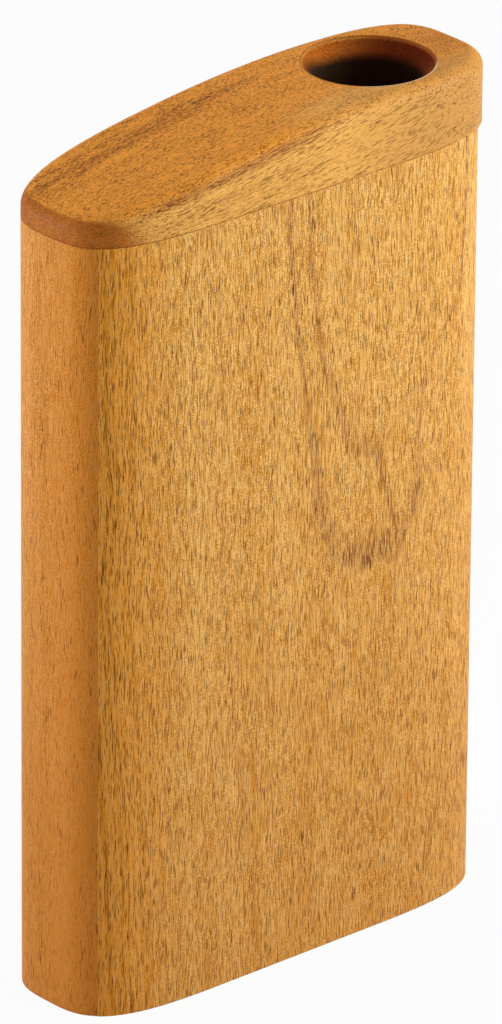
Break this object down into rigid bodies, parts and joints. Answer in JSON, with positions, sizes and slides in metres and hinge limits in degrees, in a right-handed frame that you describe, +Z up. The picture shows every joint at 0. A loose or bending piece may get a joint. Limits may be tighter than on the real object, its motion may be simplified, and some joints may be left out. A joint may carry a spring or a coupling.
{
  "type": "travel didgeridoo",
  "caption": "Travel didgeridoo: a flat, round-ended wooden case with a folded air path, a swept cap with a cupped mouth bore, and a sound outlet in its foot.",
  "frame": {"origin": "middle of the whole instrument's box, on the ground that it stands on", "axes": "+Z up, +X towards the mouth end, -Y towards the player's front board"},
  "size_m": [0.1474, 0.0472, 0.25],
  "materials": {
    "board_wood": "golden tan mahogany-type wood, satin oil",
    "rail_wood": "orange-brown mahogany-type wood, satin oil",
    "cap_wood": "brown-orange mahogany-type wood, satin oil, end grain at both ends",
    "inner_wood": "plain sanded wood inside the air path and under the foot"
  },
  "bodies": {
    "root": {"front_board": "board_wood", "back_board": "board_wood", "low_end_rail": "rail_wood", "mouth_end_rail": "rail_wood", "partition_1": "inner_wood", "partition_2": "inner_wood", "partition_3": "inner_wood", "partition_4": "inner_wood", "foot_panel": "inner_wood", "mouth_cap": "cap_wood"}
  },
  "joints": []
}
